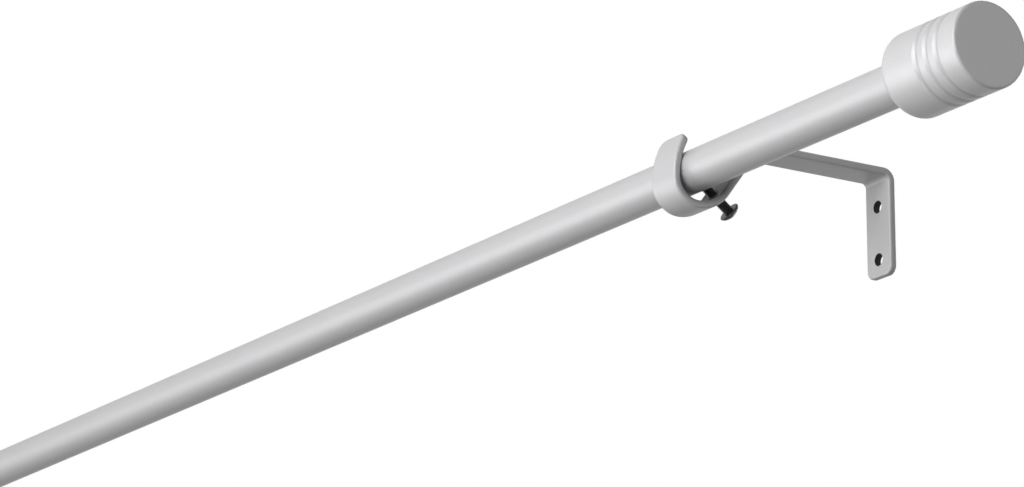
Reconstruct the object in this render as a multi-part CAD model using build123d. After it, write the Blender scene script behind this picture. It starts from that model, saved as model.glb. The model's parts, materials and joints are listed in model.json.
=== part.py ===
from build123d import *
import os
from math import cos, radians, sin, sqrt

# Extendable curtain rod: two telescoping tubes with grooved drum finials, carried by two bent strip
# brackets that each have a hook and a clamp screw. Millimetres. +X runs along the rod to its right
# end, +Y points to the wall and +Z is up. The origin lies on the wall, midway between the two
# screw holes of the right bracket.

# Rod tubes
outer_tube_diameter = 16.0
outer_tube_wall = 0.7
inner_tube_wall = 0.7
telescope_gap = 0.8
hidden_room = 22.2
shortest_length = 1200.0
rest_extension = 60.0
slide_clearance = 0.1
neck_length = 3.0
lip_length = 3.0
neck_round = 3.0
push_stop_gap = 1.0

# Drum finials
drum_diameter = 31.5
drum_length = 42.3
drum_front_round = 1.0
drum_back_round = 3.0
groove_count = 3
groove_pitch = 5.7
first_groove_from_end = 10.5
groove_width = 2.7
groove_depth = 0.7
groove_lip_round = 0.4
socket_diameter = 9.0
socket_depth = 16.0
socket_clearance = 0.05
tube_end_gap = 0.2

# Finial plugs
plug_length = 28.0
plug_nose_taper = 3.0
plug_rib_count = 6
plug_rib_width = 1.6
plug_rib_height = 0.8
plug_core_diameter = 5.0
plug_core_depth = 22.0

# Glide at the hidden end of the inner tube
glide_flange_length = 5.0
glide_flange_round = 0.8
glide_spigot_length = 16.0
glide_spigot_clearance = 0.05
glide_bore_diameter = 6.0

# Bracket strip
strip_width = 15.2
strip_thickness = 3.0
strip_edge_round = 0.9
plate_corner_round = 3.5
tip_corner_round = 3.5
wall_projection = 91.0
arm_above_rod = 12.0
wall_bend_radius = 2.0
knee_radius = 4.0
slope_angle = 53.5
hook_room_below_rod = 4.0
hook_back_radius = 14.0
hook_front_radius = 8.3
hook_rise_radius = 28.0
hook_rise_turn = 34.0
rod_seat_gap = 0.3
wall_hole_diameter = 5.0
wall_hole_spacing = 20.9
wall_hole_below_arm = 10.8
plate_below_hole = 6.9
bracket_from_end = 180.0

# Clamp screws
screw_diameter = 4.0
screw_length = 13.2
screw_tip_chamfer = 0.6
screw_head_diameter = 8.4
screw_head_rim = 0.8
screw_head_height = 2.6
thread_clearance = 0.08

# The inner tube, as thick as the outer tube's bore takes and as long as the closed rod takes
inner_tube_diameter = outer_tube_diameter - 2 * (outer_tube_wall + telescope_gap)
closed_room = shortest_length - 2 * drum_length - tube_end_gap - plug_length
inner_tube_length = closed_room - glide_flange_length - hidden_room

# Places along the rod
right_end = bracket_from_end
right_tube_end = right_end - drum_length - tube_end_gap
left_end = right_end - shortest_length - rest_extension
left_tube_end = left_end + drum_length + tube_end_gap
hidden_end = left_tube_end + inner_tube_length
outer_mouth = right_end - shortest_length + drum_length + push_stop_gap
left_bracket_x = left_end + bracket_from_end
rod_height = wall_hole_below_arm + wall_hole_spacing / 2 - arm_above_rod
rod_line = Pos(0, -wall_projection, rod_height)

# Radii that the fitted pieces share
rod_radius = outer_tube_diameter / 2
outer_bore_radius = rod_radius - outer_tube_wall
inner_bore_radius = inner_tube_diameter / 2 - inner_tube_wall

# Places in the bracket's section, as Y and Z from the rod's axis. The front of the hook rises past
# the rod with only the seat gap between them, which sets where the hook lies.
slope = radians(slope_angle)
hook_floor = -rod_radius - hook_room_below_rod
rise_centre_z = hook_floor + hook_front_radius
rise_reach = hook_rise_radius - rod_radius - rod_seat_gap
hook_low_y = hook_front_radius - hook_rise_radius + sqrt(rise_reach**2 - rise_centre_z**2)
hook_back_centre = Vector(hook_low_y, hook_floor + hook_back_radius)
screw_way = Vector(sin(slope), -cos(slope))


def spun(profile: Sketch) -> Part:
    """Turn a profile drawn in X and radius once about the rod's axis."""
    return revolve(profile, axis=Axis.X, revolution_arc=360)


def make_outer_tube() -> Part:
    """Tube open at the right, with its left mouth necked in round the inner tube."""
    lip_bore = inner_tube_diameter / 2 + slide_clearance
    neck_end = outer_mouth + lip_length
    neck_start = neck_end + neck_length
    bore = [
        (right_tube_end, outer_bore_radius),
        (neck_start, outer_bore_radius),
        (neck_end, lip_bore),
        (outer_mouth, lip_bore),
    ]
    outside = [(x, radius + outer_tube_wall) for x, radius in reversed(bore)]
    profile = make_face(Polyline(*bore, *outside, close=True))
    shoulders = profile.vertices().filter_by_position(Axis.X, neck_end, neck_start)
    return spun(fillet(shoulders, neck_round))


def make_inner_tube() -> Part:
    """Plain tube that slides in the outer one."""
    wall = Rectangle(inner_tube_length, inner_tube_wall, align=(Align.MIN, Align.MIN))
    return spun(Pos(left_tube_end, inner_bore_radius) * wall)


def make_tube_glide() -> Part:
    """Moulded bush in the inner tube's hidden end, running in the outer tube's bore."""
    flange_radius = outer_bore_radius - slide_clearance
    spigot_radius = inner_bore_radius - glide_spigot_clearance
    bore_radius = glide_bore_diameter / 2
    spigot_end = hidden_end - glide_spigot_length
    flange_face = hidden_end + glide_flange_length
    outline = Polyline(
        (spigot_end, bore_radius),
        (spigot_end, spigot_radius),
        (hidden_end, spigot_radius),
        (hidden_end, flange_radius),
        (flange_face, flange_radius),
        (flange_face, bore_radius),
        close=True,
    )
    profile = make_face(outline)
    rim = profile.vertices().group_by(Axis.Y)[-1]
    return spun(fillet(rim, glide_flange_round))


def make_drum() -> Part:
    """Turned drum with its end face at x = 0, coves cut round it and a blind socket in its back."""
    radius = drum_diameter / 2
    section = Rectangle(drum_length, radius, align=(Align.MAX, Align.MIN))
    back_corner = section.vertices().group_by(Axis.Y)[-1].sort_by(Axis.X)[0]
    section = fillet(back_corner, drum_back_round)
    front_corner = section.vertices().group_by(Axis.X)[-1].sort_by(Axis.Y)[-1]
    section = fillet(front_corner, drum_front_round)
    cove_radius = ((groove_width / 2) ** 2 + groove_depth**2) / (2 * groove_depth)
    for index in range(groove_count):
        centre = -first_groove_from_end - index * groove_pitch
        section -= Pos(centre, radius - groove_depth + cove_radius) * Circle(cove_radius)
        near_cove = section.vertices().filter_by_position(Axis.X, centre - groove_width, centre + groove_width)
        section = fillet(near_cove.filter_by_position(Axis.Y, radius / 2, radius), groove_lip_round)
    socket = Rectangle(socket_depth, socket_diameter / 2, align=(Align.MIN, Align.MIN))
    return spun(section - Pos(-drum_length, 0) * socket)


def make_plug(bore_radius: float) -> Part:
    """Moulded plug with its boss in the drum's socket and ribs that grip a tube of this bore."""
    rib_reach = bore_radius - slide_clearance
    body_radius = rib_reach - plug_rib_height
    boss_radius = socket_diameter / 2 - socket_clearance
    shoulder = -drum_length
    nose = shoulder - plug_length
    boss_end = shoulder + socket_depth - tube_end_gap
    half = Polyline(
        (nose, 0),
        (nose, body_radius - plug_rib_height),
        (nose + plug_nose_taper, body_radius),
        (shoulder, body_radius),
        (shoulder, boss_radius),
        (boss_end, boss_radius),
        (boss_end, 0),
        close=True,
    )
    rib_height = sqrt(rib_reach**2 - (plug_rib_width / 2) ** 2)
    rib_length = plug_length - plug_nose_taper
    rib = Pos(shoulder, 0, 0) * Box(
        rib_length, plug_rib_width, rib_height, align=(Align.MAX, Align.CENTER, Align.MIN)
    )
    ribs = [Rot(360 * index / plug_rib_count, 0, 0) * rib for index in range(plug_rib_count)]
    core = Rectangle(plug_core_depth, plug_core_diameter / 2, align=(Align.MIN, Align.MIN))
    return spun(make_face(half)) + ribs - spun(Pos(nose, 0) * core)


def strip_moves() -> list[tuple[float, float]]:
    """The strip's middle line from the plate's lower end to the hook's tip.

    Each move is a length with no turn, or a radius with a turn in degrees, left turns positive.
    """
    half = strip_thickness / 2
    arm_z = arm_above_rod + half
    bend = wall_bend_radius + half
    knee = knee_radius + half
    back = hook_back_radius + half
    slope_low = hook_back_centre + screw_way * back
    slope_length = (arm_z - knee * (1 - cos(slope)) - slope_low.Y) / sin(slope)
    knee_y = slope_low.X + slope_length * cos(slope) + knee * sin(slope)
    plate_length = wall_hole_below_arm + wall_hole_spacing + plate_below_hole - wall_bend_radius
    arm_length = wall_projection - half - bend - knee_y
    return [
        (plate_length, 0),
        (bend, 90),
        (arm_length, 0),
        (knee, slope_angle),
        (slope_length, 0),
        (back, -slope_angle),
        (hook_front_radius + half, -90),
        (hook_rise_radius + half, -hook_rise_turn),
    ]


def strip_side(shift: float) -> list[Edge]:
    """One long side of the strip's section, this far to the right of its middle line."""
    plate_low = arm_above_rod - wall_hole_below_arm - wall_hole_spacing - plate_below_hole
    point = Vector(wall_projection - strip_thickness / 2 + shift, plate_low)
    heading = Vector(0, 1)
    edges = []
    for size, turn in strip_moves():
        if turn == 0:
            edge = Line(point, point + heading * size)
        else:
            radius = size + shift if turn > 0 else size - shift
            edge = JernArc(point, heading, radius, turn)
        edges.append(edge)
        point = edge @ 1
        heading = edge % 1
    return edges


def make_bracket() -> Part:
    """Bent strip with its wall plate, arm and hook, placed round a rod on the X axis."""
    rod_side = strip_side(strip_thickness / 2)
    other_side = strip_side(-strip_thickness / 2)
    plate_end = Line(rod_side[0] @ 0, other_side[0] @ 0)
    tip_end = Line(rod_side[-1] @ 1, other_side[-1] @ 1)
    section = make_face([*rod_side, *other_side, plate_end, tip_end])
    strip = extrude(Plane.YZ * section, strip_width / 2, both=True)
    for end, corner_round in ((plate_end, plate_corner_round), (tip_end, tip_corner_round)):
        middle = end @ 0.5
        end_point = Vector(0, middle.X, middle.Y)
        corners = strip.edges().sort_by_distance(end_point)
        corners = corners.filter_by(lambda edge: abs(edge.length - strip_thickness) < 1e-6)
        strip = fillet(corners[:2], corner_round)
    seams = (strip_thickness, strip_width)
    outline = strip.edges().filter_by(lambda edge: all(abs(edge.length - seam) > 1e-6 for seam in seams))
    strip = fillet(outline, strip_edge_round)
    bolt = Cylinder(wall_hole_diameter / 2, 4 * strip_thickness, rotation=(90, 0, 0))
    upper_hole = arm_above_rod - wall_hole_below_arm
    for height in (upper_hole, upper_hole - wall_hole_spacing):
        strip -= Pos(0, wall_projection, height) * bolt
    tapped = Cylinder(screw_diameter / 2 + thread_clearance, 2 * strip_thickness)
    return strip - screw_place(hook_back_radius + strip_thickness / 2) * tapped


def screw_place(distance: float) -> Location:
    """A place on the clamp screw's axis, this far from the middle of the hook's back bend."""
    centre = hook_back_centre + screw_way * distance
    way = Vector(0, screw_way.X, screw_way.Y)
    return Plane(origin=(0, centre.X, centre.Y), x_dir=(1, 0, 0), z_dir=way).location


def make_clamp_screw() -> Part:
    """Pan-head screw through the hook's slope, its tip close to a rod on the X axis."""
    shank = screw_diameter / 2
    tip_flat = shank - screw_tip_chamfer
    off_centre = abs(hook_back_centre.X * screw_way.Y - hook_back_centre.Y * screw_way.X)
    miss = max(0, off_centre - tip_flat)
    tip = sqrt(rod_radius**2 - miss**2) + rod_seat_gap - hook_back_centre.dot(screw_way)
    head_radius = screw_head_diameter / 2
    rim_height = screw_length + screw_head_rim
    top = screw_length + screw_head_height
    side = Polyline(
        (0, top),
        (0, 0),
        (tip_flat, 0),
        (shank, screw_tip_chamfer),
        (shank, screw_length),
        (head_radius, screw_length),
        (head_radius, rim_height),
    )
    dome = RadiusArc((head_radius, rim_height), (0, top), dome_radius())
    profile = make_face([*side.edges(), *dome.edges()])
    return screw_place(tip) * revolve(Plane.XZ * profile, axis=Axis.Z, revolution_arc=360)


def dome_radius() -> float:
    """Radius of the screw head's dome, level at the top and ending at the rim."""
    rise = screw_head_height - screw_head_rim
    return -((screw_head_diameter / 2) ** 2 + rise**2) / (2 * rise)


right_drum_place = rod_line * Pos(right_end, 0, 0)
left_drum_place = rod_line * Pos(left_end, 0, 0) * Rot(0, 0, 180)
right_bracket_place = rod_line
left_bracket_place = rod_line * Pos(left_bracket_x, 0, 0)

parts = {
    "outer_tube": rod_line * make_outer_tube(),
    "inner_tube": rod_line * make_inner_tube(),
    "tube_glide": rod_line * make_tube_glide(),
    "right_finial_drum": right_drum_place * make_drum(),
    "right_finial_plug": right_drum_place * make_plug(outer_bore_radius),
    "left_finial_drum": left_drum_place * make_drum(),
    "left_finial_plug": left_drum_place * make_plug(inner_bore_radius),
    "right_bracket": right_bracket_place * make_bracket(),
    "right_clamp_screw": right_bracket_place * make_clamp_screw(),
    "left_bracket": left_bracket_place * make_bracket(),
    "left_clamp_screw": left_bracket_place * make_clamp_screw(),
}

os.makedirs("parts", exist_ok=True)
for name, solid in parts.items():
    export_step(solid, f"parts/{name}.step")
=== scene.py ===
"""Studio scene of an extendable curtain rod with drum finials, strip brackets and clamp screws.

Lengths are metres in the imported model's frame: +X runs along the rod to its right end, +Y points to
the wall and +Z is up. Every piece is a set of point grids worked out from sizes and welded into one
closed skin, with its place in its mesh.
"""

from __future__ import annotations

import json
import logging
import math
from dataclasses import dataclass
from enum import Enum, IntEnum
from functools import cached_property
from typing import Any

import bmesh
import bpy
import numpy as np
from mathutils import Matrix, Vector

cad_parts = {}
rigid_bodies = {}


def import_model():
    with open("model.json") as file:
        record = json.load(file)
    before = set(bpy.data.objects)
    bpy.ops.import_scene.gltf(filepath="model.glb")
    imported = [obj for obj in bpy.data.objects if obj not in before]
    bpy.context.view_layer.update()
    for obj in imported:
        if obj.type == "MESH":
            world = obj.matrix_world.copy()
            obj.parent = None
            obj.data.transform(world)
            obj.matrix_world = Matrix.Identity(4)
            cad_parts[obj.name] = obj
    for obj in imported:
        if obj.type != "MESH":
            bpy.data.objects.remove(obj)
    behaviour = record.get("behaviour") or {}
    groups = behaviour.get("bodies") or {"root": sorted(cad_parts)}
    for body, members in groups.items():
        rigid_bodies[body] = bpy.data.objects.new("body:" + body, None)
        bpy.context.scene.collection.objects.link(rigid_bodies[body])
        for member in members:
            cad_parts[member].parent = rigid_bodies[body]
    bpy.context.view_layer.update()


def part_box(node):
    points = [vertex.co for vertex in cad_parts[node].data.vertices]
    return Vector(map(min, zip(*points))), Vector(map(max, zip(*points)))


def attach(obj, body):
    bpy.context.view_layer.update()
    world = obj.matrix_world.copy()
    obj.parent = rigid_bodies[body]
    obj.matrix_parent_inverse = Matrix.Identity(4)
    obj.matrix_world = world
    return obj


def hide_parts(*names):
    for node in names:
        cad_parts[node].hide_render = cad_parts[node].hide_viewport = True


MM = 0.001
# The mesh value that says how much painted shade each point gets.
PAINTED_SHADE_ATTRIBUTE = "hollow"
WELD = 0.0005 * MM
CREASE_DEGREES = 35.0
GUARD_SHARE = 0.25
PLACE_DIGITS = 9
MIX_SHARE, MIX_LOW, MIX_HIGH, MIX_COLOUR = 0, 6, 7, 2
LOG = logging.getLogger("curtain_rod")
Array = np.ndarray
Colour = tuple[float, float, float, float]
Corners = list[tuple[float, float, float]]


class End(Enum):
    """An end of the rod, with the way along X that points out of it."""

    RIGHT = 1
    LEFT = -1

    @property
    def label(self) -> str:
        """The end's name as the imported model's nodes and bodies use it."""
        return self.name.lower()


class Slot(Enum):
    """The record's material slots."""

    TUBE = "tube_paint"
    DRUM = "drum_paint"
    BRACKET = "bracket_paint"
    SCREW = "black_screw"
    PLASTIC = "white_plastic"


class Join(IntEnum):
    """Joins between a bracket's moves, counted along its strip from the plate's end."""

    SLOPE = 4
    SCREW = 5
    RISE = 7
    TIP = 8


class Signal:
    """A node's output that adds Math nodes where it is used in sums."""

    def __init__(self, bench: NodeBench, socket: bpy.types.NodeSocket) -> None:
        """Keep the socket and the bench that its nodes stand on."""
        self.bench = bench
        self.socket = socket

    def _math(self, operation: str, first: Signal | float, second: Signal | float) -> Signal:
        """A Math node with two operands."""
        return self.bench.node("ShaderNodeMath", {"operation": operation}, {0: first, 1: second})

    def __add__(self, other: Signal | float) -> Signal:
        """The sum of two values."""
        return self._math("ADD", self, other)

    def __radd__(self, other: float) -> Signal:
        """The sum of a number and this value."""
        return self._math("ADD", other, self)

    def __mul__(self, other: Signal | float) -> Signal:
        """The product of two values."""
        return self._math("MULTIPLY", self, other)

    def __rmul__(self, other: float) -> Signal:
        """The product of a number and this value."""
        return self._math("MULTIPLY", other, self)

    def at_most(self, limit: float) -> Signal:
        """This value, but no more than a limit."""
        return self._math("MINIMUM", self, limit)


class NodeBench:
    """Makes and links the nodes of one material or world."""

    def __init__(self, tree: bpy.types.NodeTree) -> None:
        """Keep the tree that the nodes go into."""
        self.tree = tree

    def fill(self, made: bpy.types.Node, sockets: dict[str | int, Any]) -> None:
        """Set or link a node's sockets.

        Args:
            made: The node.
            sockets: A value or a signal for each socket, by name or number.
        """
        for key, value in sockets.items():
            if isinstance(value, Signal):
                self.tree.links.new(value.socket, made.inputs[key])
            else:
                made.inputs[key].default_value = value

    def node(
        self, kind: str, settings: dict[str, Any], sockets: dict[str | int, Any], output: str | int = 0
    ) -> Signal:
        """Make a node, set it up and then fill its sockets.

        Args:
            kind: The node's type.
            settings: Its own settings by name.
            sockets: A value or a signal for each socket, by name or number.
            output: The name or number of the output to use.

        Returns:
            That output.
        """
        made = self.tree.nodes.new(kind)
        for key, value in settings.items():
            setattr(made, key, value)
        self.fill(made, sockets)
        return Signal(self, made.outputs[output])

    def place(self) -> Signal:
        """The Object coordinates of the surface."""
        return self.node("ShaderNodeTexCoord", {}, {}, "Object")

    def noise(self, scale: float, detail: float) -> Signal:
        """Soft noise from 0 to 1, with this many grains to a metre."""
        sockets = {"Vector": self.place(), "Scale": scale, "Detail": detail}
        return self.node("ShaderNodeTexNoise", {}, sockets)

    def cells(self, scale: float) -> Signal:
        """A random value from 0 to 1 in each of many small cells, this many to a metre."""
        sockets = {"Vector": self.place(), "Scale": scale}
        colour = self.node("ShaderNodeTexVoronoi", {}, sockets, "Color")
        return self.node("ShaderNodeSeparateColor", {}, {"Color": colour})

    def blend(self, share: Signal, low: Signal | Colour, high: Colour) -> Signal:
        """A colour between two others, by a share from 0 to 1."""
        sockets = {MIX_SHARE: share, MIX_LOW: low, MIX_HIGH: high}
        return self.node("ShaderNodeMix", {"data_type": "RGBA"}, sockets, MIX_COLOUR)

    def seen(self) -> Signal:
        """1 where the camera, a gloss or a glass looks, and 0 for light on its way to a matt surface."""
        rays = ("Is Camera Ray", "Is Glossy Ray", "Is Transmission Ray")
        camera, gloss, glass = (self.node("ShaderNodeLightPath", {}, {}, ray) for ray in rays)
        return (camera + gloss + glass).at_most(1.0)

    def bump(self, height: Signal, strength: float, distance: float) -> Signal:
        """The surface's normal, tilted by a height."""
        sockets = {"Height": height, "Strength": strength, "Distance": distance}
        return self.node("ShaderNodeBump", {}, sockets, "Normal")


@dataclass(frozen=True)
class Finish:
    """What the finishes share: a name, and a material made from their shader's sockets."""

    name: str

    def sockets(self, bench: NodeBench) -> dict[str | int, Any]:
        """What goes into each socket of the surface shader."""
        raise NotImplementedError

    def material(self) -> bpy.types.Material:
        """Make the finish's material.

        Returns:
            The material.
        """
        made = bpy.data.materials.new(self.name)
        made.use_nodes = True
        bench = NodeBench(made.node_tree)
        bench.fill(made.node_tree.nodes["Principled BSDF"], self.sockets(bench))
        return made


@dataclass(frozen=True)
class SilverPaint(Finish):
    """Satin silver-grey paint on steel or aluminium, with fine metal flake in it."""

    dark: Colour = (0.585, 0.585, 0.595, 1.0)
    light: Colour = (0.685, 0.685, 0.695, 1.0)
    # The colour of painted shade, which a mesh's hollow value blends in.
    hollow: Colour = (0.30, 0.30, 0.31, 1.0)
    metal: float = 0.22
    gloss: float = 0.05
    roughness: float = 0.42
    roughness_drop: float = 0.05
    roughness_spread: float = 0.06
    flakes_per_metre: float = 4200.0
    flake_share: float = 0.30
    flake_height: float = 0.2
    clouds_per_metre: float = 45.0
    cloud_detail: float = 3.0
    cloud_share: float = 0.35
    peel_per_metre: float = 900.0
    peel_detail: float = 2.0
    peel_share: float = 0.20
    peel_height: float = 0.8
    least_share: float = 0.07
    bump_strength: float = 0.12
    bump_depth: float = 0.02 * MM

    def sockets(self, bench: NodeBench) -> dict[str | int, Any]:
        """The paint: flake and soft clouds in its colour, and a faint orange peel.

        A mesh's own "hollow" value, where it has one, blends in the colour of painted shade.

        Args:
            bench: The bench that the nodes stand on.

        Returns:
            The shader's sockets.
        """
        flake = bench.cells(self.flakes_per_metre)
        clouds = bench.noise(self.clouds_per_metre, self.cloud_detail)
        peel = bench.noise(self.peel_per_metre, self.peel_detail)
        share = self.flake_share * flake + self.cloud_share * clouds
        share = share + self.peel_share * peel + self.least_share
        smoothest = self.roughness - self.roughness_drop
        height = self.peel_height * peel + self.flake_height * flake
        # Painted shade, by the mesh's own hollow value.
        hollow = bench.node("ShaderNodeAttribute", {"attribute_name": PAINTED_SHADE_ATTRIBUTE}, {}, "Fac")
        return {
            "Base Color": bench.blend(hollow, bench.blend(share, self.dark, self.light), self.hollow),
            "Metallic": self.metal,
            "Specular IOR Level": self.gloss,
            "Roughness": smoothest + self.roughness_spread * flake + self.roughness_spread * clouds,
            "Normal": bench.bump(height, self.bump_strength, self.bump_depth),
        }


@dataclass(frozen=True)
class BlackPlating(Finish):
    """Blackened steel of a screw, with a dull sheen."""

    dark: Colour = (0.032, 0.032, 0.033, 1.0)
    light: Colour = (0.100, 0.100, 0.103, 1.0)
    metal: float = 0.3
    gloss: float = 0.2
    roughness: float = 0.34
    roughness_spread: float = 0.16
    grains_per_metre: float = 2600.0
    grain_detail: float = 2.0
    grain_share: float = 0.3
    clouds_per_metre: float = 400.0
    cloud_detail: float = 3.0
    cloud_share: float = 0.7
    bump_strength: float = 0.2
    bump_depth: float = 0.02 * MM

    def sockets(self, bench: NodeBench) -> dict[str | int, Any]:
        """The plating: cloudy black with a fine etched grain.

        Args:
            bench: The bench that the nodes stand on.

        Returns:
            The shader's sockets.
        """
        grain = bench.noise(self.grains_per_metre, self.grain_detail)
        clouds = bench.noise(self.clouds_per_metre, self.cloud_detail)
        share = self.grain_share * grain + self.cloud_share * clouds
        return {
            "Base Color": bench.blend(share, self.dark, self.light),
            "Metallic": self.metal,
            "Specular IOR Level": self.gloss,
            "Roughness": self.roughness - self.roughness_spread / 2 + self.roughness_spread * clouds,
            "Normal": bench.bump(grain, self.bump_strength, self.bump_depth),
        }


@dataclass(frozen=True)
class MouldedPlastic(Finish):
    """Natural white nylon of the hidden plugs and glide."""

    dark: Colour = (0.66, 0.65, 0.61, 1.0)
    light: Colour = (0.76, 0.75, 0.71, 1.0)
    roughness: float = 0.45
    roughness_spread: float = 0.10
    clouds_per_metre: float = 150.0
    cloud_detail: float = 2.0
    spark_per_metre: float = 3000.0
    spark_detail: float = 1.0
    bump_strength: float = 0.15
    bump_depth: float = 0.03 * MM
    glow_through: float = 0.1
    glow_depth: float = 1.0 * MM

    def sockets(self, bench: NodeBench) -> dict[str | int, Any]:
        """The plastic: slightly cloudy, with the fine texture of its mould.

        Args:
            bench: The bench that the nodes stand on.

        Returns:
            The shader's sockets.
        """
        clouds = bench.noise(self.clouds_per_metre, self.cloud_detail)
        spark = bench.noise(self.spark_per_metre, self.spark_detail)
        return {
            "Base Color": bench.blend(clouds, self.dark, self.light),
            "Roughness": self.roughness - self.roughness_spread / 2 + self.roughness_spread * spark,
            "Normal": bench.bump(spark, self.bump_strength, self.bump_depth),
            "Subsurface Weight": self.glow_through,
            "Subsurface Scale": self.glow_depth,
        }


@dataclass(frozen=True)
class FloorPaper(Finish):
    """Pale studio paper under the object."""

    pale: Colour = (0.88, 0.88, 0.88, 1.0)
    bounce: Colour = (0.07, 0.07, 0.07, 1.0)
    glow: Colour = (0.60, 0.60, 0.60, 1.0)
    unlit: Colour = (0.0, 0.0, 0.0, 1.0)
    glow_strength: float = 1.0
    roughness: float = 0.9

    def sockets(self, bench: NodeBench) -> dict[str | int, Any]:
        """The paper: pale where it is seen, with little light thrown up from it.

        Args:
            bench: The bench that the nodes stand on.

        Returns:
            The shader's sockets.
        """
        seen = bench.seen()
        return {
            "Base Color": bench.blend(seen, self.bounce, self.pale),
            "Emission Color": bench.blend(seen, self.unlit, self.glow),
            "Emission Strength": self.glow_strength,
            "Roughness": self.roughness,
        }


class Skin:
    """Grids of points, gathered and welded into one closed mesh."""

    def __init__(self, name: str) -> None:
        """Start with no grid.

        Args:
            name: The name of the mesh and the object.
        """
        self.name = name
        self.points: list[Array] = []
        self.quads: list[Array] = []
        self.hollows: list[Array] = []
        self.total = 0

    def add(self, grid: Array, ring: bool = False, hollow: Array | float = 0.0) -> None:
        """Join a grid's neighbours with quads.

        Args:
            grid: Points as rows, columns and three coordinates.
            ring: Whether the last column joins the first.
            hollow: How much painted shade each point gets, from 0 to 1, by point or for all.
        """
        rows, columns = grid.shape[:2]
        number = self.total + np.arange(rows * columns).reshape(rows, columns)
        if ring:
            number = np.column_stack([number, number[:, 0]])
        corners = (number[:-1, :-1], number[:-1, 1:], number[1:, 1:], number[1:, :-1])
        self.points.append(grid.reshape(-1, 3))
        self.quads.append(np.stack(corners, axis=-1).reshape(-1, 4))
        self.hollows.append(np.broadcast_to(hollow, (rows, columns)).ravel())
        self.total += rows * columns

    def piece(self) -> bpy.types.Object:
        """Weld the grids and make the object, sharp at its creases.

        Returns:
            The object, at the origin.
        """
        mesh = bpy.data.meshes.new(self.name)
        mesh.from_pydata(np.vstack(self.points).tolist(), [], np.vstack(self.quads).tolist())
        # How much painted shade each point gets.
        shade = mesh.attributes.new(PAINTED_SHADE_ATTRIBUTE, "FLOAT", "POINT")
        shade.data.foreach_set("value", np.concatenate(self.hollows))
        work = bmesh.new()
        work.from_mesh(mesh)
        bmesh.ops.remove_doubles(work, verts=work.verts, dist=WELD)
        bmesh.ops.recalc_face_normals(work, faces=work.faces)
        work.to_mesh(mesh)
        work.free()
        mesh.shade_smooth()
        mesh.set_sharp_from_angle(angle=math.radians(CREASE_DEGREES))
        made = bpy.data.objects.new(self.name, mesh)
        bpy.context.scene.collection.objects.link(made)
        return made


def unit(vectors: Array) -> Array:
    """Vectors along the last axis, each brought to length 1."""
    return vectors / np.linalg.norm(vectors, axis=-1, keepdims=True)


def rounded(corners: Corners, steps: int = 6) -> Array:
    """A closed outline with an arc at each corner.

    An arc's centre lies on the line that halves the corner, at the radius over the sine of half the
    corner's angle, and it touches both sides. One more point before and after each arc keeps the
    flat sides flat when they are shaded.

    Args:
        corners: Two coordinates and the arc's radius for each corner.
        steps: The number of steps in each arc.

    Returns:
        Points as corners, points of that corner and two coordinates.
    """
    table = np.array(corners)
    tips, radii = table[:, :2], table[:, 2:]
    back = unit(np.roll(tips, 1, axis=0) - tips)
    ahead = unit(np.roll(tips, -1, axis=0) - tips)
    half = np.arccos(np.clip((back * ahead).sum(axis=1, keepdims=True), -1, 1)) / 2
    reach = radii / np.tan(half)
    centres = tips + unit(back + ahead) * radii / np.sin(half)
    first = tips + back * reach - centres
    last = tips + ahead * reach - centres
    cross = first[:, :1] * last[:, 1:] - first[:, 1:] * last[:, :1]
    sweep = np.arctan2(cross, (first * last).sum(axis=1, keepdims=True))
    turn = np.arctan2(first[:, 1:], first[:, :1]) + sweep * np.linspace(0, 1, steps + 1)
    arcs = centres[:, None] + radii[:, None] * np.stack([np.cos(turn), np.sin(turn)], axis=-1)
    guard = reach + GUARD_SHARE * radii
    before, after = tips + back * guard, tips + ahead * guard
    return np.concatenate([before[:, None], arcs, after[:, None]], axis=1)


@dataclass(frozen=True)
class Axle:
    """A straight axis that profiles are turned about."""

    origin: tuple[float, float, float]
    along: tuple[float, float, float]
    side: tuple[float, float, float]

    def turned(self, along: Array, radius: Array) -> Array:
        """Carry a profile once round the axis.

        A point lies its own way along the axis, and its radius off it towards the cosine of its
        angle times one side and the sine times the other.

        Args:
            along: Distances along the axis, as rows or as rows and columns.
            radius: Radii as rows and columns, one column for each angle.

        Returns:
            Points as rows, columns and three coordinates.
        """
        angle = np.linspace(0, 2 * np.pi, radius.shape[1], endpoint=False)
        side = np.array(self.side)
        other = np.cross(self.along, side)
        out = np.cos(angle)[:, None] * side + np.sin(angle)[:, None] * other
        spine = np.broadcast_to(along.reshape(len(radius), -1), radius.shape)[..., None]
        return np.array(self.origin) + spine * np.array(self.along) + radius[..., None] * out

    def lathe(self, profile: Array, columns: int, loop: bool = False) -> Array:
        """Turn a plain profile of distances and radii.

        Args:
            profile: Points as distance along the axis and radius.
            columns: The number of steps round the axis.
            loop: Whether the profile closes on itself.

        Returns:
            Points as rows, columns and three coordinates.
        """
        points = profile.reshape(-1, 2)
        if loop:
            points = np.vstack([points, points[:1]])
        return self.turned(points[:, 0], np.repeat(points[:, 1:], columns, axis=1))


def rod_axle(start: float, way: int) -> Axle:
    """The rod's axis from a place along X.

    Args:
        start: The place that distances are measured from.
        way: 1 to measure to the right and -1 to the left.

    Returns:
        The axis, through the middle of the outer tube.
    """
    low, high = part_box("outer_tube")
    middle = (low + high) / 2
    return Axle((start, middle.y, middle.z), (way, 0, 0), (0, -1, 0))


def settle(piece: bpy.types.Object, body: str, node: str, finish: bpy.types.Material) -> None:
    """Paint a piece, put it on its body and let it stand for its solid.

    Args:
        piece: The new piece.
        body: The body that it rides on.
        node: The solid that it replaces.
        finish: Its material.
    """
    piece.data.materials.append(finish)
    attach(piece, body)
    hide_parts(node)
    LOG.info("%s rides %s, %d faces", piece.name, body, len(piece.data.polygons))


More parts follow.
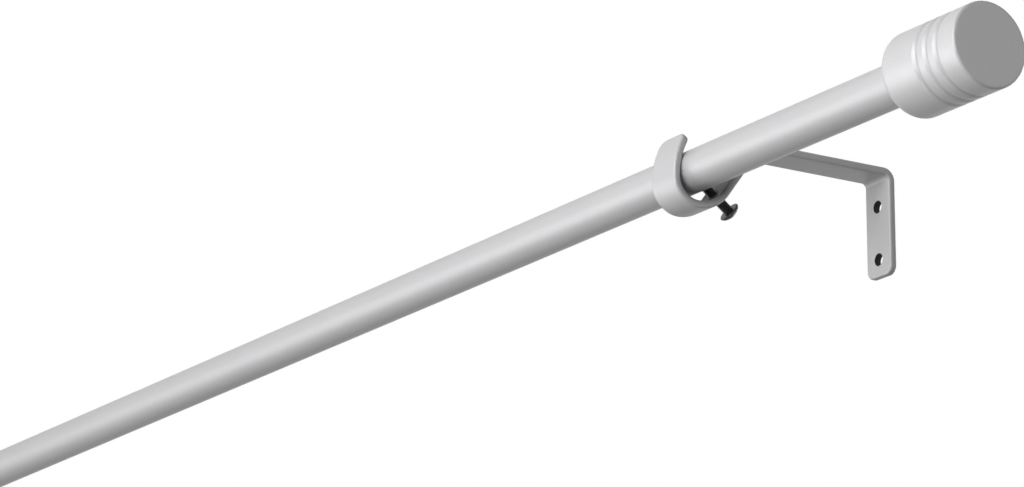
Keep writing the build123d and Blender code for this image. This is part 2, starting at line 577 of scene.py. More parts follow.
@dataclass
class RodTubes:
    """The two tubes that slide in each other, and the glide in the hidden end of the thinner one."""

    outer_diameter: float = 16.0 * MM
    inner_diameter: float = 13.0 * MM
    wall: float = 0.7 * MM
    slide_clearance: float = 0.1 * MM
    neck_length: float = 3.0 * MM
    lip_length: float = 3.0 * MM
    neck_round: float = 3.0 * MM
    cut_round: float = 0.2 * MM
    glide_flange_length: float = 5.0 * MM
    glide_flange_round: float = 0.8 * MM
    glide_spigot_clearance: float = 0.05 * MM
    glide_bore: float = 6.0 * MM
    columns: int = 128

    def turned(self, name: str, start: float, corners: Corners) -> bpy.types.Object:
        """Turn a closed outline about the rod's axis.

        Args:
            name: The new piece's name.
            start: The place along X that the outline is measured from.
            corners: The outline's corners, as distance, radius and round.

        Returns:
            The piece as one closed skin.
        """
        skin = Skin(name)
        skin.add(rod_axle(start, 1).lathe(rounded(corners), self.columns, loop=True), ring=True)
        return skin.piece()

    def outer_tube(self) -> bpy.types.Object:
        """The tube that shows, open at the right and necked in round the inner tube at the left.

        Returns:
            The tube as one closed skin.
        """
        low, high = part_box("outer_tube")
        length = high.x - low.x
        bore = self.outer_diameter / 2 - self.wall
        lip = self.inner_diameter / 2 + self.slide_clearance
        neck_end = self.lip_length
        neck_start = neck_end + self.neck_length
        corners = [
            (0, lip, self.cut_round),
            (0, lip + self.wall, self.cut_round),
            (neck_end, lip + self.wall, self.neck_round),
            (neck_start, bore + self.wall, self.neck_round),
            (length, bore + self.wall, self.cut_round),
            (length, bore, self.cut_round),
            (neck_start, bore, self.neck_round),
            (neck_end, lip, self.neck_round),
        ]
        return self.turned("outer_rod_tube", low.x, corners)

    def inner_tube(self) -> bpy.types.Object:
        """The thinner tube, plain and open at both ends.

        Returns:
            The tube as one closed skin.
        """
        low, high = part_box("inner_tube")
        length = high.x - low.x
        outside = self.inner_diameter / 2
        bore = outside - self.wall
        corners = [
            (0, bore, self.cut_round),
            (0, outside, self.cut_round),
            (length, outside, self.cut_round),
            (length, bore, self.cut_round),
        ]
        return self.turned("inner_rod_tube", low.x, corners)

    def glide(self) -> bpy.types.Object:
        """The moulded bush: a spigot in the inner tube and a flange that runs in the outer one.

        Returns:
            The glide as one closed skin.
        """
        low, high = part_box("tube_glide")
        length = high.x - low.x
        spigot = self.inner_diameter / 2 - self.wall - self.glide_spigot_clearance
        flange = self.outer_diameter / 2 - self.wall - self.slide_clearance
        shoulder = length - self.glide_flange_length
        bore = self.glide_bore / 2
        corners = [
            (0, bore, self.cut_round),
            (0, spigot, self.glide_flange_round),
            (shoulder, spigot, self.cut_round),
            (shoulder, flange, self.glide_flange_round),
            (length, flange, self.glide_flange_round),
            (length, bore, self.cut_round),
        ]
        return self.turned("inner_rod_glide", low.x, corners)

    def build(self, paint: bpy.types.Material, plastic: bpy.types.Material) -> None:
        """Make the tubes and the glide and dress them.

        Args:
            paint: The tubes' paint.
            plastic: The glide's plastic.
        """
        settle(self.outer_tube(), "outer_rod", "outer_tube", paint)
        settle(self.inner_tube(), "inner_rod", "inner_tube", paint)
        settle(self.glide(), "inner_rod", "tube_glide", plastic)


@dataclass
class DrumFinial:
    """One end of the rod: a turned drum with coves round it, and the plug that holds it in the tube."""

    end: End
    tube_bore: float
    diameter: float = 31.5 * MM
    length: float = 42.3 * MM
    front_round: float = 1.0 * MM
    back_round: float = 3.0 * MM
    groove_count: int = 3
    groove_pitch: float = 5.7 * MM
    first_groove: float = 10.5 * MM
    groove_width: float = 2.7 * MM
    groove_depth: float = 0.7 * MM
    groove_lip: float = 0.4 * MM
    groove_span: float = 0.95
    groove_rows: int = 49
    # Shares of painted shade in the coves and on the front edge's round.
    groove_shade: float = 0.28
    edge_shade: float = 0.35
    socket_diameter: float = 9.0 * MM
    socket_depth: float = 16.0 * MM
    socket_clearance: float = 0.05 * MM
    end_gap: float = 0.2 * MM
    plug_length: float = 28.0 * MM
    plug_taper: float = 3.0 * MM
    plug_clearance: float = 0.1 * MM
    rib_count: int = 6
    rib_width: float = 1.6 * MM
    rib_height: float = 0.8 * MM
    rib_rows: int = 40
    core_diameter: float = 5.0 * MM
    core_depth: float = 22.0 * MM
    small_round: float = 0.3 * MM
    drum_round_steps: int = 10
    columns: int = 192

    @property
    def axle(self) -> Axle:
        """The rod's axis, measured inwards from the drum's end face."""
        low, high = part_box(f"{self.end.label}_finial_drum")
        face = high.x if self.end is End.RIGHT else low.x
        return rod_axle(face, -self.end.value)

    def cove_depth(self, along: Array) -> Array:
        """How far the coves cut into the drum's side.

        Each cove is a circle that dips below the side, and a small circle inside the wall rounds
        each of its lips. The two circles touch on the line between their centres.

        Args:
            along: Distances from the end face.

        Returns:
            The depth at each distance.
        """
        depth, lip = self.groove_depth, self.groove_lip
        cove = ((self.groove_width / 2) ** 2 + depth**2) / (2 * depth)
        lip_centre = math.sqrt((cove + lip) ** 2 - (cove - depth + lip) ** 2)
        touch = lip_centre * cove / (cove + lip)
        place = np.rint((along - self.first_groove) / self.groove_pitch)
        nearest = np.clip(place, 0, self.groove_count - 1)
        off = np.abs(along - self.first_groove - nearest * self.groove_pitch)
        hollow = depth - cove + np.sqrt(np.maximum(cove**2 - off**2, 0))
        edge = lip - np.sqrt(np.maximum(lip**2 - (lip_centre - off) ** 2, 0))
        return np.select([off < touch, off < lip_centre], [hollow, edge], 0.0)

    def drum(self) -> bpy.types.Object:
        """The drum, its end face forward and a blind socket in its back.

        Shade is painted into the coves, darker with their depth, and onto the front edge's round, most
        halfway round it:
        twice the product of how far forward and how far outward a point lies is 1 there and 0 at the
        arc's ends.

        Returns:
            The drum as one closed skin, its outline turned about the rod's axis.
        """
        radius = self.diameter / 2
        socket = self.socket_diameter / 2
        floor = self.length - self.socket_depth
        corners = rounded(
            [
                (0, 0, 0),
                (0, radius, self.front_round),
                (self.length, radius, self.back_round),
                (self.length, socket, self.small_round),
                (floor, socket, self.small_round),
                (floor, 0, 0),
            ],
            self.drum_round_steps,
        )
        groove = self.first_groove + self.groove_pitch * np.arange(self.groove_count)
        across = self.groove_width * np.linspace(-self.groove_span, self.groove_span, self.groove_rows)
        along = (groove[:, None] + across).ravel()
        side = np.column_stack([along, radius - self.cove_depth(along)])
        front, back = corners[:2].reshape(-1, 2), corners[2:].reshape(-1, 2)
        profile = np.vstack([front, side, back])
        # Painted shade: deeper in the coves, and most halfway round the front edge.
        forward = np.clip(1 - profile[:, :1] / self.front_round, 0, 1)
        outward = np.clip(1 - (radius - profile[:, 1:]) / self.front_round, 0, 1)
        hollow = self.groove_shade * self.cove_depth(profile[:, :1]) / self.groove_depth
        hollow += self.edge_shade * 2 * forward * outward
        skin = Skin(f"{self.end.label}_drum")
        skin.add(self.axle.lathe(profile, self.columns), ring=True, hollow=hollow)
        return skin.piece()

    def plug(self) -> bpy.types.Object:
        """The plug: a boss in the drum's socket, and a ribbed body in the tube.

        The body's radius is its outline's, plus the ribs' height where an angle lies within half a
        rib's width of a rib, and nothing near the body's two ends.

        Returns:
            The plug as one closed skin.
        """
        reach = self.tube_bore - self.plug_clearance
        body = reach - self.rib_height
        boss = self.socket_diameter / 2 - self.socket_clearance
        boss_end = self.length - self.socket_depth + self.end_gap
        nose = self.length + self.plug_length
        taper = nose - self.plug_taper
        core = self.core_diameter / 2
        corners = rounded(
            [
                (boss_end, 0, 0),
                (boss_end, boss, self.small_round),
                (self.length, boss, 0),
                (self.length, body, self.small_round),
                (taper, body, self.small_round),
                (nose, body - self.rib_height, self.small_round),
                (nose, core, self.small_round),
                (nose - self.core_depth, core, self.small_round),
                (nose - self.core_depth, 0, 0),
            ]
        )
        clear = 2 * self.small_round
        along = np.linspace(self.length + clear, taper - clear, self.rib_rows)
        run = np.column_stack([along, np.full_like(along, body)])
        front, back = corners[:4].reshape(-1, 2), corners[4:].reshape(-1, 2)
        profile = np.vstack([front, run, back])
        share = np.zeros((len(profile), 1))
        share[len(front) + 1 : -len(back) - 1] = 1.0
        angle = np.linspace(0, 2 * np.pi, self.columns, endpoint=False)
        spacing = 2 * np.pi / self.rib_count
        off = np.abs((angle + spacing / 2) % spacing - spacing / 2) * body
        rib = np.clip((self.rib_width / 2 - off) / self.small_round + 0.5, 0, 1)
        radius = profile[:, 1:] + self.rib_height * share * rib
        skin = Skin(f"{self.end.label}_plug")
        skin.add(self.axle.turned(profile[:, 0], radius), ring=True)
        return skin.piece()

    def build(self, paint: bpy.types.Material, plastic: bpy.types.Material) -> None:
        """Make the drum and its plug and dress them.

        Args:
            paint: The drum's paint.
            plastic: The plug's plastic.
        """
        name = f"{self.end.label}_finial"
        settle(self.drum(), name, f"{name}_drum", paint)
        settle(self.plug(), name, f"{name}_plug", plastic)


@dataclass
class StripBracket:
    """A wall bracket: one strip of steel, bent to a wall plate, an arm, a slope and a hook."""

    end: End
    width: float = 15.2 * MM
    thickness: float = 3.0 * MM
    edge_round: float = 0.9 * MM
    flat_margin: float = 0.15 * MM
    plate_corner: float = 3.5 * MM
    tip_corner: float = 3.5 * MM
    rod_radius: float = 8.0 * MM
    wall_projection: float = 91.0 * MM
    arm_above_rod: float = 12.0 * MM
    wall_bend: float = 2.0 * MM
    knee: float = 4.0 * MM
    slope_angle: float = 53.5
    hook_room: float = 4.0 * MM
    hook_back: float = 14.0 * MM
    hook_front: float = 8.3 * MM
    hook_rise: float = 28.0 * MM
    hook_rise_turn: float = 34.0
    rod_seat_gap: float = 0.3 * MM
    wall_hole_radius: float = 2.5 * MM
    wall_hole_spacing: float = 20.9 * MM
    wall_hole_below_arm: float = 10.8 * MM
    plate_below_hole: float = 6.9 * MM
    screw_hole_radius: float = 2.3 * MM
    screw_hole_margin: float = 3.6 * MM
    hole_round: float = 0.1 * MM
    # Shares of painted shade: on the holes' walls, on the hook's rod side with its fade at the named
    # joins, and on the rounded rim.
    hole_shade: float = 1.0
    hook_shade: float = 0.9
    hook_fade: tuple[float, float, float, float] = (0.0, 1.0, 0.5, 0.35)
    rim_shade: float = 0.2
    columns: int = 8
    round_steps: int = 5
    corner_points: int = 9
    straight_steps: int = 4
    bend_steps: int = 20
    hole_rows: int = 9
    hole_rings: int = 7

    @property
    def node(self) -> str:
        """The solid that the strip stands for."""
        return f"{self.end.label}_bracket"

    @cached_property
    def origin(self) -> Array:
        """The point of the rod's axis in the middle of the strip's width."""
        low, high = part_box(self.node)
        start = rod_axle((low.x + high.x) / 2, 1)
        return np.array(start.origin)

    @cached_property
    def screw_way(self) -> Array:
        """The way square to the slope and out of the hook, as Y and Z."""
        slope = math.radians(self.slope_angle)
        return np.array([math.sin(slope), -math.cos(slope)])

    @cached_property
    def back_centre(self) -> Array:
        """The middle of the hook's back bend.

        It lies so that the hook's rise clears the rod by the seat gap: a right triangle joins the
        rod's axis and the middle of the rise.

        Returns:
            Y and Z from the rod's axis.
        """
        floor = -self.rod_radius - self.hook_room
        reach = self.hook_rise - self.rod_radius - self.rod_seat_gap
        rise_height = floor + self.hook_front
        low_point = self.hook_front - self.hook_rise + math.sqrt(reach**2 - rise_height**2)
        return np.array([low_point, floor + self.hook_back])

    @cached_property
    def moves(self) -> Array:
        """The strip's middle line from the plate's lower end to the hook's tip.

        Returns:
            Rows of a move's length and its turn to the left in radians, none for a straight one.
        """
        half = self.thickness / 2
        slope = math.radians(self.slope_angle)
        bend, knee, back = self.wall_bend + half, self.knee + half, self.hook_back + half
        low = self.back_centre + self.screw_way * back
        rise = self.arm_above_rod + half - knee * (1 - math.cos(slope)) - low[1]
        slope_length = rise / math.sin(slope)
        knee_start = low[0] + slope_length * math.cos(slope) + knee * math.sin(slope)
        plate = self.wall_hole_below_arm + self.wall_hole_spacing + self.plate_below_hole - self.wall_bend
        arm = self.wall_projection - half - bend - knee_start
        quarter = math.pi / 2
        rise_turn = math.radians(self.hook_rise_turn)
        return np.array(
            [
                (plate, 0),
                (bend * quarter, quarter),
                (arm, 0),
                (knee * slope, slope),
                (slope_length, 0),
                (back * slope, -slope),
                ((self.hook_front + half) * quarter, -quarter),
                ((self.hook_rise + half) * rise_turn, -rise_turn),
            ]
        )

    @cached_property
    def joins(self) -> Array:
        """Distances along the strip at which its moves begin, and its whole length."""
        return np.concatenate([[0], np.cumsum(self.moves[:, 0])])

    @cached_property
    def headings(self) -> Array:
        """The strip's heading where each move begins, in radians from +Y towards +Z."""
        return math.pi / 2 + np.concatenate([[0], np.cumsum(self.moves[:-1, 1])])

    @cached_property
    def starts(self) -> Array:
        """The places where the moves begin.

        A move's chord is its length times the sine of half its turn over that half, along the
        heading halfway through its turn.

        Returns:
            Y and Z from the rod's axis, one row for each move.
        """
        half_turn = self.moves[:, 1] / 2
        chord = self.moves[:, 0] * np.sinc(half_turn / np.pi)
        middle = self.headings + half_turn
        steps = chord[:, None] * np.column_stack([np.cos(middle), np.sin(middle)])
        plate_foot = self.arm_above_rod - self.wall_hole_below_arm
        plate_foot -= self.wall_hole_spacing + self.plate_below_hole
        first = np.array([self.wall_projection - self.thickness / 2, plate_foot])
        return first + np.vstack([[0, 0], np.cumsum(steps[:-1], axis=0)])

    def bent(self, along: Array, across: Array, height: Array | float) -> Array:
        """Bend points of the flat strip to the bracket's shape.

        The middle line goes straight or turns evenly in each move, so a point's place on it is its
        move's start plus a chord. Height is measured square to the line, towards the rod's side.

        Args:
            along: Distances along the strip.
            across: Distances from the middle of its width.
            height: Distances from the middle of its thickness.

        Returns:
            Points with three coordinates.
        """
        along, across, height = np.broadcast_arrays(along, across, height)
        move = np.clip(np.searchsorted(self.joins, along, side="right") - 1, 0, len(self.moves) - 1)
        gone = along - self.joins[move]
        turn = self.moves[move, 1] * gone / self.moves[move, 0]
        chord = gone * np.sinc(turn / (2 * np.pi))
        middle = self.headings[move] + turn / 2
        heading = self.headings[move] + turn
        y = self.starts[move, 0] + chord * np.cos(middle) + height * np.sin(heading)
        z = self.starts[move, 1] + chord * np.sin(middle) - height * np.cos(heading)
        return self.origin + np.stack([across, y, z], axis=-1)

    @cached_property
    def holes(self) -> list[tuple[float, float, float]]:
        """The two wall holes and the screw's hole.

        Returns:
            Each hole's place along the strip, its radius and half the length of strip kept for it.
        """
        margin = self.plate_below_hole - self.plate_corner
        lower = (self.plate_below_hole, self.wall_hole_radius, margin)
        upper = (self.plate_below_hole + self.wall_hole_spacing, self.wall_hole_radius, margin)
        return [lower, upper, (self.joins[Join.SCREW], self.screw_hole_radius, self.screw_hole_margin)]

    @cached_property
    def stations(self) -> Array:
        """The places at which the strip's long sides are divided, more of them in the bends.

        Returns:
            Distances along the strip, rising.
        """
        divisions = np.where(self.moves[:, 1] == 0, self.straight_steps, self.bend_steps)
        parts = [
            np.linspace(start, stop, count + 1)
            for start, stop, count in zip(self.joins[:-1], self.joins[1:], divisions)
        ]
        parts += [
            np.linspace(place - margin, place + margin, self.hole_rows) for place, _, margin in self.holes
        ]
        low, high = self.plate_corner, self.joins[-1] - self.tip_corner
        inside = np.concatenate(parts)
        inside = inside[(inside > low + self.flat_margin) & (inside < high - self.flat_margin)]
        rows = np.unique(np.concatenate([[low, high], inside]).round(PLACE_DIGITS))
        return rows[np.concatenate([[True], np.diff(rows) > WELD])]

    def half_outline(self, inset: Array) -> tuple[Array, Array]:
        """Half of the flat strip's outline, moved inwards.

        It runs from the plate's end round a corner's quarter circle, up one long side and round
        the tip's corner to the tip's end.

        Args:
            inset: How far the outline is moved in, as a column.

        Returns:
            Distances along the strip, and half widths, one row for each inset.
        """
        quarter = np.linspace(0, np.pi / 2, self.corner_points)
        foot, tip = self.plate_corner - inset, self.tip_corner - inset
        half = self.width / 2
        side = np.broadcast_to(self.stations[1:-1], (len(inset), len(self.stations) - 2))
        end = self.joins[-1] - self.tip_corner
        along = [self.plate_corner - foot * np.cos(quarter), side, end + tip * np.sin(quarter)]
        foot_width = half - self.plate_corner + foot * np.sin(quarter)
        tip_width = half - self.tip_corner + tip * np.cos(quarter)
        return np.hstack(along), np.hstack([foot_width, side * 0 + half - inset, tip_width])

    def outline_loop(self, inset: Array) -> tuple[Array, Array]:
        """The flat strip's whole outline, moved inwards.

        Args:
            inset: How far the outline is moved in, as a column.

        Returns:
            Distances along the strip and across it, one row for each inset.
        """
        along, half = self.half_outline(inset)
        share = np.linspace(-1, 1, self.columns + 1)[1:-1]
        foot, tip = half[:, :1] * share, half[:, -1:] * share
        loop_along = [foot * 0 + along[:, :1], along, tip * 0 + along[:, -1:], along[:, ::-1]]
        loop_across = [foot, half, -tip, -half[:, ::-1]]
        return np.hstack(loop_along), np.hstack(loop_across)

    def edge_section(self, radius: float) -> tuple[Array, Array]:
        """The rounded section of an edge, from the rod's side to the other side.

        It is a quarter circle in, a straight stretch and a quarter circle out.

        Args:
            radius: The radius of the two quarter circles.

        Returns:
            How far each point lies in from the edge, and its height, as columns.
        """
        quarter = np.linspace(0, np.pi / 2, self.round_steps + 1)
        inset = np.concatenate([[self.flat_margin + radius], radius * (1 - np.sin(quarter))])
        height = self.thickness / 2 - np.concatenate([[0], radius * (1 - np.cos(quarter))])
        return np.hstack([inset, inset[::-1]])[:, None], np.hstack([height, -height[::-1]])[:, None]

    def hollowness(self, along: Array, height: Array | float) -> Array:
        """How much painted shade the hook's rod side gets.

        It rises evenly through the strip's thickness to the rod's side, grows down the slope to
        the screw's hole, and is less towards the tip. The fade has a share for each named join.

        Args:
            along: Distances along the strip.
            height: Distances from the middle of its thickness.

        Returns:
            A share from 0 to 1.
        """
        fade = np.interp(along, self.joins[list(Join)], self.hook_fade)
        return self.hook_shade * fade * (height / self.thickness + 0.5)

    def add_rim(self, skin: Skin) -> None:
        """The rounded edge all round the strip: its section carried round the outline, with painted
        shade.

        Args:
            skin: The skin that the grid goes into.
        """
        inset, height = self.edge_section(self.edge_round)
        along, across = self.outline_loop(inset)
        # Painted shade on the rim, most at its outermost point, unless the hook's painted shade is
        # darker.
        rim_painted_shade = self.rim_shade * np.clip(1 - inset / self.edge_round, 0, 1)
        hollow = np.maximum(self.hollowness(along, height), rim_painted_shade)
        skin.add(self.bent(along, across, height), ring=True, hollow=hollow)

    def add_both_faces(self, skin: Skin, along: Array, across: Array, ring: bool = False) -> None:
        """The same grid on the strip's two faces.

        Args:
            skin: The skin that the grids go into.
            along: Distances along the strip.
            across: Distances from the middle of its width.
            ring: Whether the last column joins the first.
        """
        for side in (self.thickness / 2, -self.thickness / 2):
            # Painted shade on the hook's rod side.
            skin.add(self.bent(along, across, side), ring, self.hollowness(along, side))

    def add_hole(self, skin: Skin, rows: Array, half: float, place: float, radius: float) -> None:
        """The strip's two faces round one hole, and the hole's wall.

        Rays from the hole's middle go out to the sides of a rectangle. The wall is a rounded
        section carried round the hole, and a face's points are shared out along the rays.

        Args:
            skin: The skin that the grids go into.
            rows: Distances along the strip of the rectangle's rows.
            half: Half of the rectangle's width.
            place: The hole's place along the strip.
            radius: The hole's radius.
        """
        share = np.linspace(-1, 1, self.columns + 1)
        sides = [
            np.column_stack([np.full(self.columns, rows[0]), half * share[:-1]]),
            np.column_stack([rows[:-1], np.full(len(rows) - 1, half)]),
            np.column_stack([np.full(self.columns, rows[-1]), half * share[:0:-1]]),
            np.column_stack([rows[:0:-1], np.full(len(rows) - 1, -half)]),
        ]
        frame = np.vstack(sides)
        middle = np.array([place, 0.0])
        ray = unit(frame - middle)
        inset, height = self.edge_section(self.hole_round)
        wall = middle + (radius + inset)[..., None] * ray
        # Painted shade on the hole's wall, fading out across its rounds, or the hook's painted shade
        # where that is darker.
        dark = self.hole_shade * np.clip(1 - inset / self.hole_round, 0, 1)
        hollow = np.maximum(self.hollowness(wall[..., 0], height), dark)
        skin.add(self.bent(wall[..., 0], wall[..., 1], height), ring=True, hollow=hollow)
        part = np.linspace(0, 1, self.hole_rings)[:, None, None]
        face = wall[:1] + part * (frame - wall[:1])
        self.add_both_faces(skin, face[..., 0], face[..., 1], ring=True)

    def add_faces(self, skin: Skin) -> None:
        """The strip's two faces between its edges and holes, as rows across it.

        Args:
            skin: The skin that the grids go into.
        """
        inset = np.array([[self.edge_round + self.flat_margin]])
        along, half = (values[0] for values in self.half_outline(inset))
        share = np.linspace(-1, 1, self.columns + 1)
        grid_along = np.repeat(along[:, None], len(share), axis=1)
        grid_across = half[:, None] * share
        first = 0
        spans = []
        for place, radius, margin in self.holes:
            low, high = (np.abs(along - place - side * margin).argmin() for side in (-1, 1))
            self.add_hole(skin, along[low : high + 1], half[low], place, radius)
            spans.append((first, low))
            first = high
        spans.append((first, len(along) - 1))
        for low, high in spans:
            rows = slice(low, high + 1)
            self.add_both_faces(skin, grid_along[rows], grid_across[rows])

    def build(self, paint: bpy.types.Material) -> None:
        """Make the strip and dress it.

        Args:
            paint: Its paint.
        """
        skin = Skin(f"{self.end.label}_strip")
        self.add_rim(skin)
        self.add_faces(skin)
        settle(skin.piece(), self.node, self.node, paint)


@dataclass
class ClampScrew:
    """The pan-head screw that goes through a bracket's hook and presses on the rod."""

    bracket: StripBracket
    radius: float = 2.0 * MM
    length: float = 13.2 * MM
    pitch: float = 0.7 * MM
    thread_depth: float = 0.42 * MM
    thread_gain: float = 1.25
    thread_root: float = 0.1
    rows_per_pitch: int = 12
    tip_chamfer: float = 0.6 * MM
    head_radius: float = 4.2 * MM
    head_rim: float = 0.8 * MM
    head_height: float = 2.6 * MM
    head_round: float = 0.3 * MM
    crown_inset: float = 0.45 * MM
    crown_rings: int = 60
    recess_reach: float = 2.2 * MM
    recess_half_width: float = 0.5 * MM
    recess_depth: float = 1.5 * MM
    recess_flank: float = 0.25 * MM
    recess_run_out: float = 0.8 * MM
    columns: int = 96

    @cached_property
    def axle(self) -> Axle:
        """The screw's axis, measured from its tip to its head.

        The tip stops the seat gap short of the rod. Where the axis passes the rod's middle by more
        than the tip's flat radius, the flat's nearer edge meets the rod, by a right triangle.

        Returns:
            The axis, square to the slope and through the hook's back bend.
        """
        way, centre = self.bracket.screw_way, self.bracket.back_centre
        off_centre = abs(centre[0] * way[1] - centre[1] * way[0])
        miss = max(0.0, off_centre - self.radius + self.tip_chamfer)
        contact = math.sqrt(self.bracket.rod_radius**2 - miss**2) + self.bracket.rod_seat_gap
        tip = centre + way * (contact - centre @ way)
        start = self.bracket.origin + np.array([0, *tip])
        return Axle(tuple(start), (0, *way), (1, 0, 0))

    def shank(self, angle: Array) -> tuple[Array, Array]:
        """The threaded shank.

        The thread's height at a place is a triangle wave of the distance along the screw over its
        pitch, less the angle's share of a turn, which makes a helix. The wave is stretched and cut
        off to give the thread a flat root and crest. A cone trims it at the tip.

        Args:
            angle: Angles round the screw.

        Returns:
            Distances along the screw, and radii as rows and columns.
        """
        along = np.linspace(0, self.length, int(self.length / self.pitch * self.rows_per_pitch))
        wave = (along[:, None] / self.pitch - angle / (2 * np.pi)) % 1.0
        tooth = np.clip(self.thread_gain * (1 - np.abs(2 * wave - 1)) - self.thread_root, 0, 1)
        cone = self.radius - self.tip_chamfer + along[:, None]
        return along, np.minimum(self.radius - self.thread_depth * (1 - tooth), cone)

    def recess(self, radius: Array, angle: Array) -> Array:
        """Depth of the cross recess: two crossed slots that get shallower outwards.

        Args:
            radius: Distances from the screw's axis, as a column.
            angle: Angles round the screw.

        Returns:
            The depth as rows and columns.
        """
        across = np.abs(np.stack([radius * np.sin(angle), radius * np.cos(angle)]))
        narrow, reach = across.min(axis=0), across.max(axis=0)
        slot = np.clip((self.recess_half_width - narrow) / self.recess_flank + 0.5, 0, 1)
        run = np.clip((self.recess_reach - reach) / self.recess_run_out, 0, 1)
        return self.recess_depth * slot * run

    def build(self, plating: bpy.types.Material) -> None:
        """Make the screw and dress it.

        The shank's rows are followed by the head's rim and by its crown, a dome less the recess.

        Args:
            plating: Its finish.
        """
        angle = np.linspace(0, 2 * np.pi, self.columns, endpoint=False)
        along, radius = self.shank(angle)
        rim = rounded(
            [
                (self.length, self.radius, 0),
                (self.length, self.head_radius, self.head_round),
                (self.length + self.head_rim, self.head_radius, self.head_round),
                (self.length + self.head_rim + self.head_round, self.radius, 0),
            ]
        )[1:3].reshape(-1, 2)
        rise = self.head_height - self.head_rim
        dome = (self.head_radius**2 + rise**2) / (2 * rise)
        ring = np.linspace(self.head_radius - self.crown_inset, 0, self.crown_rings)[:, None]
        crown = self.length + self.head_height - dome + np.sqrt(dome**2 - ring**2)
        top = crown - self.recess(ring, angle)
        level = np.ones(self.columns)
        tip = np.zeros(self.columns)
        all_along = np.vstack([tip, along[:, None] * level, rim[:, :1] * level, top])
        all_radius = np.vstack([tip, radius, rim[:, 1:] * level, ring * level])
        label = self.bracket.end.label
        skin = Skin(f"{label}_screw")
        skin.add(self.axle.turned(all_along, all_radius), ring=True)
        settle(skin.piece(), f"{label}_screw", f"{label}_clamp_screw", plating)


@dataclass(frozen=True)
class SoftBox:
    """A large square lamp with a soft edge to its shadows.

    It hangs round the rod's right end: its bearing goes from the front towards the right end, and its
    rise from level upwards, both in degrees.
    """

    name: str
    bearing: float
    rise: float
    power: float
    distance: float = 1.6
    size: float = 0.7
    aim: tuple[float, float, float] = (0.06, -0.09, 0.0)

    def build(self) -> None:
        """Hang the lamp and turn it to what it lights."""
        lamp = bpy.data.lights.new(self.name, "AREA")
        lamp.size = self.size
        lamp.energy = self.power
        bearing, rise = math.radians(self.bearing), math.radians(self.rise)
        level = math.cos(rise)
        way = Vector((math.sin(bearing) * level, -math.cos(bearing) * level, math.sin(rise)))
        hung = bpy.data.objects.new(self.name, lamp)
        hung.visible_camera = False
        hung.location = Vector(self.aim) + self.distance * way
        hung.rotation_euler = (-way).to_track_quat("-Z", "Y").to_euler()
        bpy.context.scene.collection.objects.link(hung)


LAMPS = (
    SoftBox("key_lamp", bearing=10, rise=15, power=20.0, size=1.2),
    SoftBox("right_lamp", bearing=30, rise=10, power=5.0, size=1.2),
    SoftBox("low_lamp", bearing=40, rise=-40, power=4.0),
    SoftBox("left_lamp", bearing=-45, rise=-10, power=15.0, distance=2.7, size=1.5),
    SoftBox("back_lamp", bearing=-165, rise=0, power=30.0, distance=2.7, size=1.5),
)


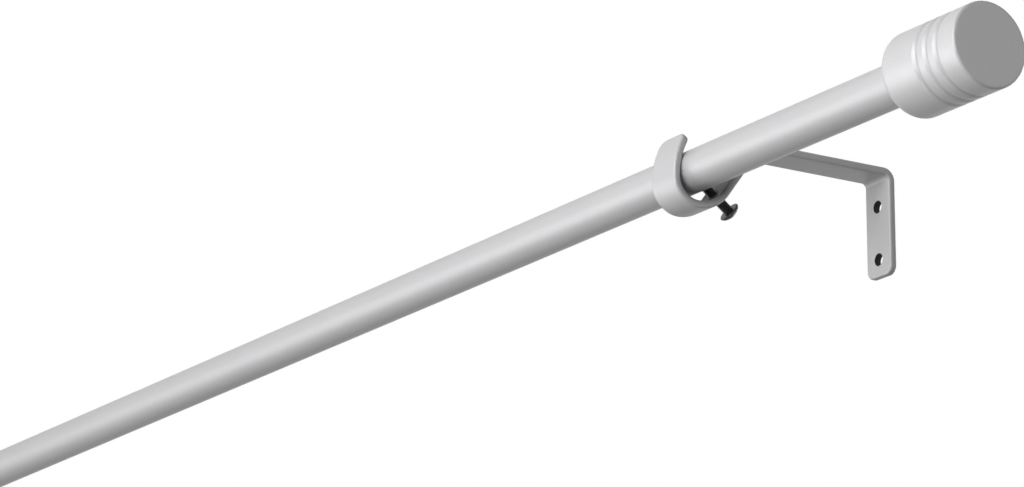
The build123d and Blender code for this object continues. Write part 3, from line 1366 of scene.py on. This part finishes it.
@dataclass
class Studio:
    """The floor, the lamps, the pale surroundings and the camera."""

    floor_height: float = -2.2
    floor_reach: float = 3.6
    floor_points: int = 3
    fill_light: float = 0.01
    camera_place: tuple[float, float, float] = (1.3548, -1.0406, -0.4946)
    camera_pitch: float = 16.09
    camera_yaw: float = 57.248
    focal_pixels: float = 4641.0
    image_width: int = 1024
    sensor_width: float = 36.0
    sight_reach: float = 100.0

    def floor(self, paper: bpy.types.Material) -> None:
        """A wide level floor, far enough down to stay below the photograph's camera.

        Args:
            paper: Its material.
        """
        edge = np.linspace(-self.floor_reach, self.floor_reach, self.floor_points)
        x, y = np.meshgrid(edge, edge, indexing="ij")
        skin = Skin("studio_floor")
        skin.add(np.stack([x, y, np.full_like(x, self.floor_height)], axis=-1))
        made = skin.piece()
        made.data.materials.append(paper)

    def surroundings(self) -> None:
        """White where the camera, a gloss or a glass sees it, and a faint light elsewhere."""
        world = bpy.data.worlds.new("studio_white")
        world.use_nodes = True
        bpy.context.scene.world = world
        bench = NodeBench(world.node_tree)
        backdrop = world.node_tree.nodes["Background"]
        strength = self.fill_light + (1 - self.fill_light) * bench.seen()
        bench.fill(backdrop, {"Color": (1.0, 1.0, 1.0, 1.0), "Strength": strength})

    def camera(self) -> None:
        """A camera without roll at the photograph's viewing angle, looking up from below the rod."""
        lens = bpy.data.cameras.new("studio_camera")
        lens.sensor_width = self.sensor_width
        lens.lens = self.focal_pixels * self.sensor_width / self.image_width
        lens.clip_end = self.sight_reach
        made = bpy.data.objects.new("studio_camera", lens)
        made.location = self.camera_place
        made.rotation_euler = (math.radians(90 + self.camera_pitch), 0, math.radians(self.camera_yaw))
        bpy.context.scene.collection.objects.link(made)
        bpy.context.scene.camera = made

    def build(self) -> None:
        """Set up everything round the object."""
        self.floor(FloorPaper("floor_paper").material())
        self.surroundings()
        self.camera()
        for lamp in LAMPS:
            lamp.build()
        bpy.context.scene.view_settings.view_transform = "Standard"
        LOG.info("studio: floor, lamps and camera")


def main() -> None:
    """Load the solids, build each piece round them and set up the studio."""
    logging.basicConfig(level=logging.INFO, format="%(message)s")
    for stray in list(bpy.data.objects):
        bpy.data.objects.remove(stray)
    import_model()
    tube_paint = SilverPaint("silver_tube_paint").material()
    drum_paint = SilverPaint(
        "silver_drum_paint", dark=(0.630, 0.630, 0.640, 1.0), light=(0.730, 0.730, 0.740, 1.0)
    ).material()
    strip_paint = SilverPaint(
        "silver_strip_paint",
        dark=(0.590, 0.590, 0.600, 1.0),
        light=(0.690, 0.690, 0.700, 1.0),
        # The painted-shade colour, near black, for the holes' walls, the hook's rod side and the rim.
        hollow=(0.045, 0.045, 0.047, 1.0),
        metal=0.18,
    ).material()
    plating = BlackPlating("black_screw_plating").material()
    plastic = MouldedPlastic("white_nylon").material()
    tubes = RodTubes()
    tubes.build(tube_paint, plastic)
    diameters = {End.RIGHT: tubes.outer_diameter, End.LEFT: tubes.inner_diameter}
    for end in End:
        DrumFinial(end, diameters[end] / 2 - tubes.wall).build(drum_paint, plastic)
        bracket = StripBracket(end)
        bracket.build(strip_paint)
        ClampScrew(bracket).build(plating)
    Studio().build()


if __name__ == "__main__":
    main()
